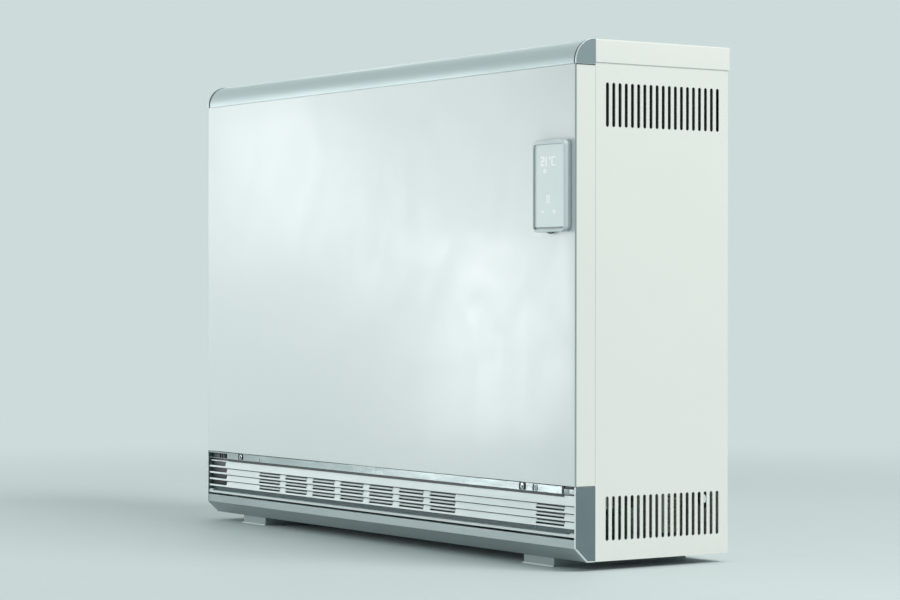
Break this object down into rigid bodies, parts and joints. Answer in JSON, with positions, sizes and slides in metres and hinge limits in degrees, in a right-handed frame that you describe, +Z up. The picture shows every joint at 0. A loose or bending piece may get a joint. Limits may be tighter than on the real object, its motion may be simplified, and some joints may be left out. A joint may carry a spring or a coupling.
{
  "type": "storage heater",
  "caption": "Fan-assisted electric storage heater: sheet-metal casing round a brick core, with a louvred outlet grille at the foot of the front and a control unit beside the top.",
  "frame": {"origin": "on the floor, under the middle of the whole heater's outline", "axes": "+X along the front to the right as seen from the room, +Y to the rear (the wall), +Z up"},
  "size_m": [0.955, 0.264, 0.672],
  "materials": {
    "white_paint": "satin",
    "front_white": "satin",
    "galvanised_sheet": "satin",
    "foot_grey": "satin",
    "satin_silver": "satin",
    "trim_silver": "satin",
    "bright_silver": "polished",
    "grille_silver": "satin",
    "frame_silver": "satin",
    "housing_grey": "satin",
    "slate_grey": "satin",
    "slate_dark": "satin",
    "dark_plastic": "satin",
    "pale_glass": "gloss",
    "circuit_board": "satin",
    "storage_brick": "matte",
    "insulation_board": "matte",
    "element_sheath": "satin",
    "white_ceramic": "satin",
    "polished_steel": "polished",
    "rotor_aluminium": "satin",
    "black_rubber": "matte",
    "motor_black": "satin",
    "bimetal": "satin",
    "signal_red": "gloss"
  },
  "bodies": {
    "heater_case": {"base_plate": "galvanised_sheet", "rear_panel": "white_paint", "side_panel_left": "white_paint", "side_panel_right": "white_paint", "top_cover": "white_paint", "front_panel": "front_white", "upper_cross_rail": "galvanised_sheet", "lower_cross_rail": "galvanised_sheet", "top_rail": "satin_silver", "top_rail_cap_left": "slate_grey", "top_rail_cap_right": "slate_grey", "bottom_cap_left": "slate_dark", "bottom_cap_right": "slate_dark", "base_trim": "trim_silver", "foot_left": "foot_grey", "foot_right": "foot_grey", "control_base": "housing_grey", "control_frame": "frame_silver", "control_glass": "pale_glass", "control_display": "dark_plastic", "control_board": "circuit_board", "storage_bricks": "storage_brick", "brick_slab": "insulation_board", "board_front": "insulation_board", "board_rear": "insulation_board", "board_left": "insulation_board", "board_right": "insulation_board", "board_top": "insulation_board", "jacket": "galvanised_sheet", "jacket_front": "galvanised_sheet", "core_table": "galvanised_sheet", "heating_elements": "element_sheath", "element_bushes": "white_ceramic", "charge_sensor": "polished_steel", "blower_housing": "galvanised_sheet", "shaft_bushes": "black_rubber", "blower_motor": "motor_black", "motor_bracket": "galvanised_sheet", "outlet_duct": "galvanised_sheet", "flap_pin": "polished_steel", "bimetal_coil": "bimetal", "lint_filter": "dark_plastic", "electrics_plate": "galvanised_sheet", "terminal_block": "white_ceramic", "power_board": "circuit_board", "heat_sink": "rotor_aluminium", "safety_limiter": "dark_plastic", "cable_grommet": "black_rubber", "wall_brackets": "galvanised_sheet", "case_screws": "polished_steel", "foot_screws": "polished_steel"},
    "outlet_grille": {"outlet_grille": "grille_silver", "grille_strip": "bright_silver"},
    "latch_left": {"grille_latch_left": "dark_plastic"},
    "latch_right": {"grille_latch_right": "dark_plastic"},
    "blower_wheel": {"blower_rotor": "rotor_aluminium", "blower_shaft": "polished_steel"},
    "mixing_flap": {"mixing_flap": "galvanised_sheet"},
    "release_button": {"release_button": "dark_plastic"},
    "reset_button": {"reset_button": "signal_red"}
  },
  "joints": [
    {"name": "grille_tilt", "type": "hinge", "parent": "heater_case", "child": "outlet_grille", "pos_m": [0, -0.1154, 0.046], "axis": [1, 0, 0], "range_deg": [0, 55]},
    {"name": "latch_left_turn", "type": "hinge", "parent": "outlet_grille", "child": "latch_left", "pos_m": [-0.3745, -0.1166, 0.10205], "axis": [0, 1, 0], "range_deg": [0, 90]},
    {"name": "latch_right_turn", "type": "hinge", "parent": "outlet_grille", "child": "latch_right", "pos_m": [0.3615, -0.1166, 0.10205], "axis": [0, 1, 0], "range_deg": [0, 90]},
    {"name": "blower_spin", "type": "hinge", "parent": "heater_case", "child": "blower_wheel", "pos_m": [0, 0.0554, 0.067], "axis": [1, 0, 0], "continuous": true},
    {"name": "mixing_flap_tilt", "type": "hinge", "parent": "heater_case", "child": "mixing_flap", "pos_m": [0, -0.0356, 0.111], "axis": [-1, 0, 0], "range_deg": [0, 60]},
    {"name": "release_button_press", "type": "slide", "parent": "heater_case", "child": "release_button", "axis": [0, 0, 1], "range_m": [0, 0.0015], "stiffness_N_per_m": 2000},
    {"name": "reset_button_press", "type": "slide", "parent": "heater_case", "child": "reset_button", "axis": [-1, 0, 0], "range_m": [0, 0.0015], "stiffness_N_per_m": 2000}
  ]
}
